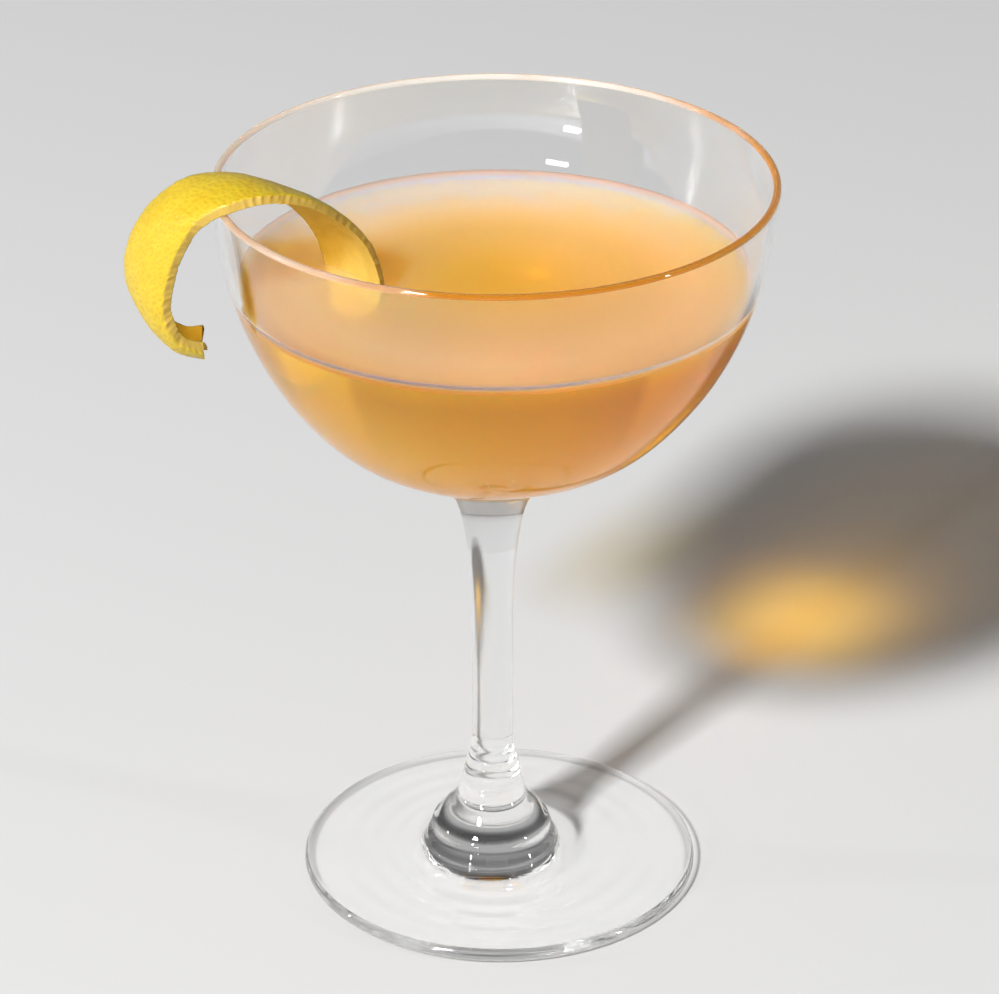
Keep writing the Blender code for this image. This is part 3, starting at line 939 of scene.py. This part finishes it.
def climb_the_peel(piece, peel):
    """Raises the drink's surface where it wets the peel."""
    tree = BVHTree.FromPolygons(
        [vert.co for vert in peel.data.vertices],
        [face.vertices for face in peel.data.polygons],
    )
    for vert in piece.data.vertices:
        if vert.co.z < (LEVEL - 0.01) * MM:
            continue
        distance = tree.find_nearest(Vector((vert.co.x, vert.co.y, LEVEL * MM)))[3] / MM
        climb = PEEL_CLIMB * math.exp(-distance / PEEL_CLIMB_WIDTH)
        vert.co.z = max(vert.co.z, (LEVEL + climb) * MM)


drink = made_by_nodes(
    "sidecar_drink", section_object("drink section", drink_section()), turning,
    {
        "Segments": TURNING_SEGMENTS,
        "Out of round": OUT_OF_ROUND * MM,
        "Wave length": OUT_OF_ROUND_SIZE * MM,
        "Material": strained_amber(),
    },
)
climb_the_peel(drink, lemon_twist)
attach(drink, "root")
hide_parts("drink")

# Stage
# A plain pale floor, one soft key from the front left, weaker panels round it, and the photo's camera.


def stage_floor():
    """A large pale matt floor."""
    mesh = bpy.data.meshes.new("floor")
    half = 3.0
    low = -0.2 * MM
    corners = [(-half, -half, low), (half, -half, low), (half, half, low), (-half, half, low)]
    mesh.from_pydata(corners, [], [(0, 1, 2, 3)])
    mesh.materials.append(new_material("pale plaster floor", Roughness=0.9, Base_Color=linear("#D2D2D2"))[0])
    obj = bpy.data.objects.new("floor", mesh)
    bpy.context.scene.collection.objects.link(obj)
    return obj


def panel(name, place, aim, width, height, power):
    """A rectangular white area light."""
    light = bpy.data.lights.new(name, "AREA")
    light.shape = "RECTANGLE"
    light.size = width
    light.size_y = height
    light.energy = power
    obj = bpy.data.objects.new(name, light)
    obj.location = place
    obj.rotation_euler = (Vector(aim) - Vector(place)).to_track_quat("-Z", "Y").to_euler()
    bpy.context.scene.collection.objects.link(obj)


def sky(ahead, around, overhead):
    """A grey room: light behind the glass, darker round the camera and overhead."""
    world = bpy.data.worlds.new("room")
    world.use_nodes = True
    tree = world.node_tree
    to_sky = add_node(tree, "ShaderNodeTexCoord").outputs["Generated"]
    parts = add_node(tree, "ShaderNodeSeparateXYZ", {0: to_sky}).outputs
    level = add_node(
        tree, "ShaderNodeMapRange", {0: parts["Y"], 1: 0.4, 2: 0.8, 3: around, 4: ahead},
    ).outputs[0]
    grade = add_node(tree, "ShaderNodeMapRange", {0: parts["Z"], 1: 0.35, 2: 0.75, 3: level, 4: overhead})
    tree.links.new(grade.outputs[0], tree.nodes["Background"].inputs["Strength"])
    bpy.context.scene.world = world


# Narrow windows whose reflections stand in the bowl's wall:
# (name, azimuth from the camera's side, elevation, width, height, power)
STRIPS = (
    ("window front left", -35.0, 13.5, 0.07, 0.26, 4.0),
    ("window left", -92.5, 12.5, 0.07, 0.16, 3.4),
    ("window right", 69.5, 14.5, 0.07, 0.26, 4.0),
    ("sill front left", -32.6, -4.0, 0.20, 0.03, 0.4),
    ("sill front", -27.0, 3.8, 0.28, 0.03, 0.5),
)
STRIP_DISTANCE = 1.6
STRIP_AIM = (0.0, 0.0, 0.13)
KEY_PLACE = (-1.68, -2.45, 2.48)
KEY_AIM = (0.0, 0.0, 0.08)
CARD_PLACE = (0.3, -1.6, 0.9)
CARD_AIM = (0.0, 0.0, 0.06)
stage_floor()
panel("key", KEY_PLACE, KEY_AIM, 0.44, 0.50, 227.0)
panel("front card", CARD_PLACE, CARD_AIM, 1.2, 0.6, 0.9)
for name, azimuth, elevation, width, height, power in STRIPS:
    turn, rise = math.radians(azimuth), math.radians(elevation)
    direction = Vector((math.sin(turn), -math.cos(turn), math.tan(rise)))
    panel(name, Vector(STRIP_AIM) + STRIP_DISTANCE * direction, STRIP_AIM, width, height, power)
sky(8.0, 1.6, 0.8)

CAMERA_PLACE = (0.0, -0.689, 0.4314)
CAMERA_TILT = 27.23
FOCAL_PIXELS = 4264
FRAME_WIDTH = 999
SENSOR = 36.0
lens = bpy.data.cameras.new("camera")
lens.sensor_width = SENSOR
lens.lens = FOCAL_PIXELS / FRAME_WIDTH * SENSOR
camera = bpy.data.objects.new("camera", lens)
camera.location = CAMERA_PLACE
camera.rotation_euler = (math.radians(90 - CAMERA_TILT), 0.0, 0.0)
bpy.context.scene.collection.objects.link(camera)
bpy.context.scene.camera = camera
bpy.context.scene.view_settings.view_transform = "Standard"
bpy.context.scene.cycles.max_bounces = 64
bpy.context.scene.cycles.transmission_bounces = 64
bpy.context.scene.cycles.glossy_bounces = 64
bpy.context.scene.cycles.transparent_max_bounces = 32
bpy.context.scene.cycles.sample_clamp_indirect = 40.0
